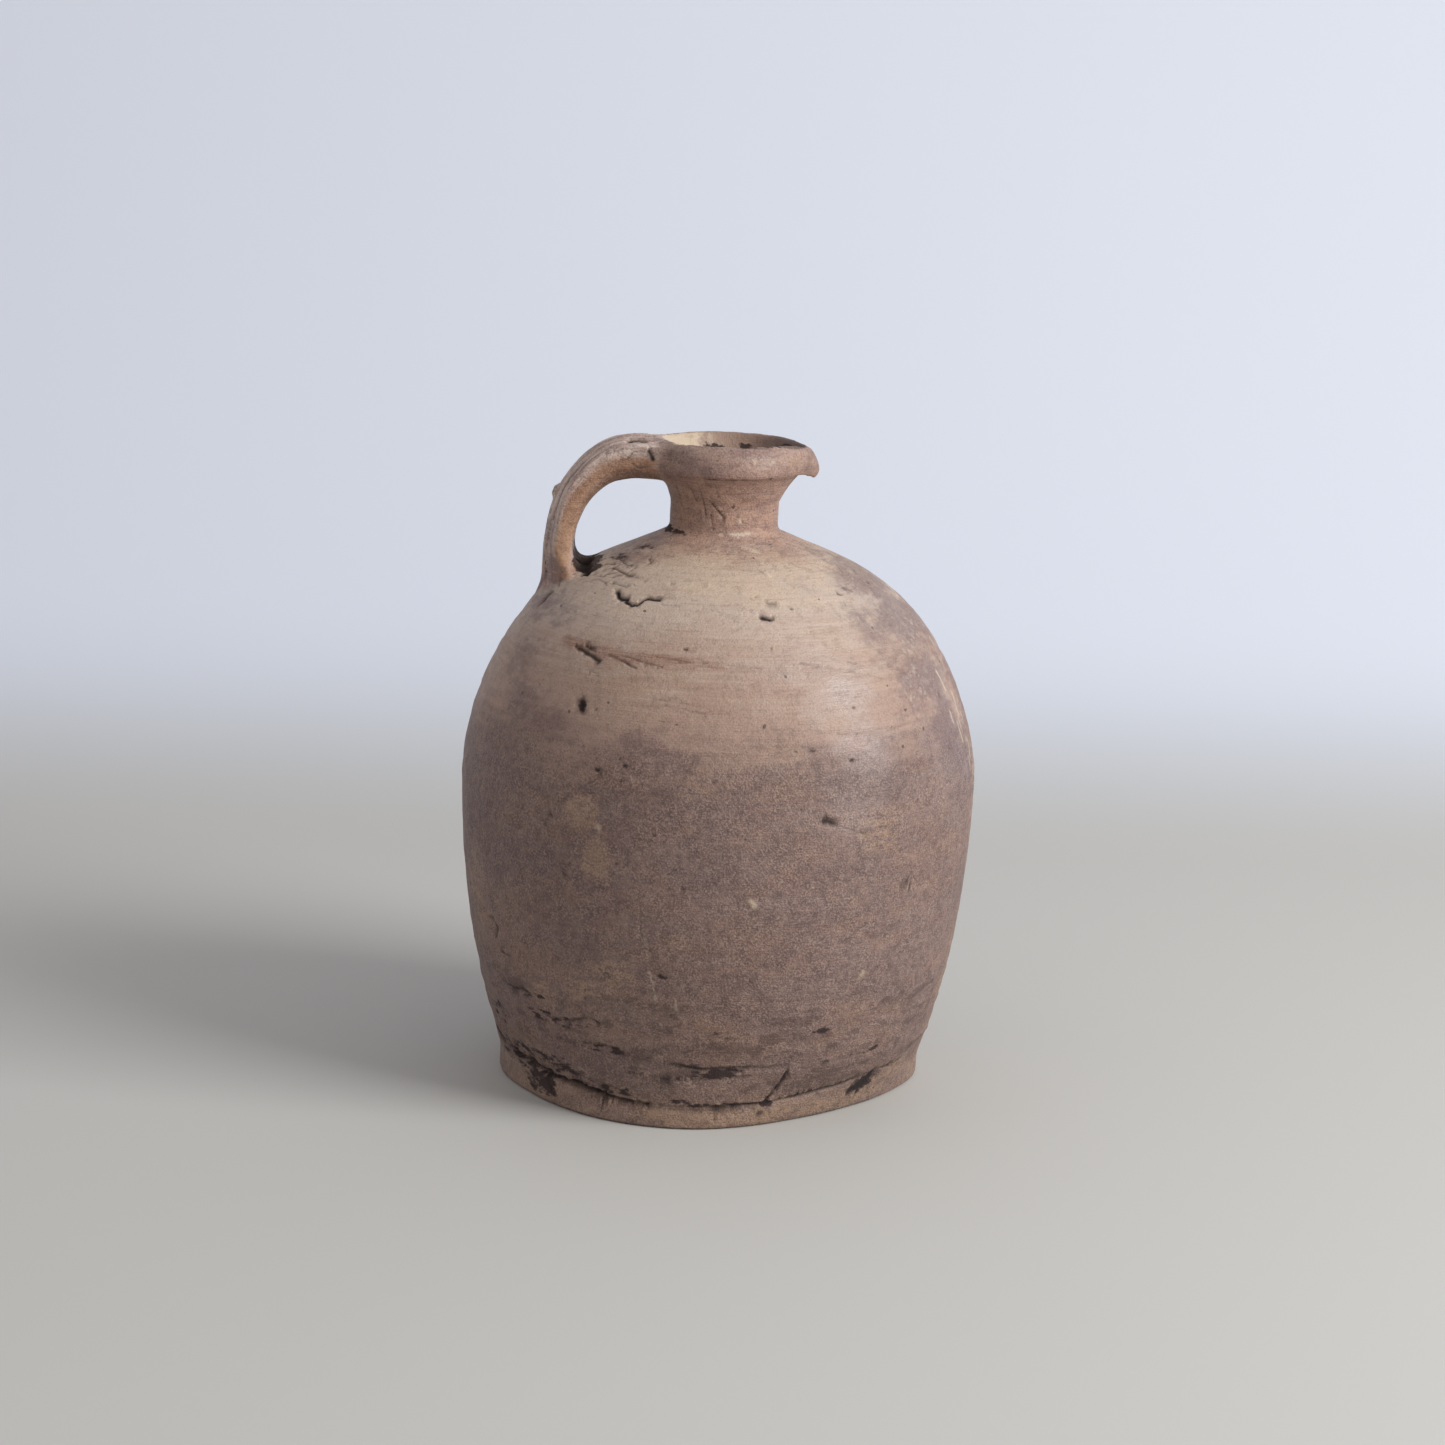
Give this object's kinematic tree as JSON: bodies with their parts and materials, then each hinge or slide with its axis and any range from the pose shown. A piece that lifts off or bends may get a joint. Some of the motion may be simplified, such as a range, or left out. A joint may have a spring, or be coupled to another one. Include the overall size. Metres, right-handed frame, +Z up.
{
  "type": "stoneware oil jug",
  "caption": "Wheel-thrown stoneware jug with a rounded shoulder, narrow neck, pinched pouring beak and pulled strap handle.",
  "frame": {"origin": "centre of the foot, on the surface that the jug stands on", "axes": "+Z up along the axis of the pot, +X towards the beak, -X towards the handle"},
  "size_m": [0.2, 0.2, 0.252],
  "materials": {
    "stoneware": "salt-fired, dull satin, brown and ochre with dark scorching"
  },
  "bodies": {
    "root": {"jug": "stoneware"}
  },
  "joints": []
}
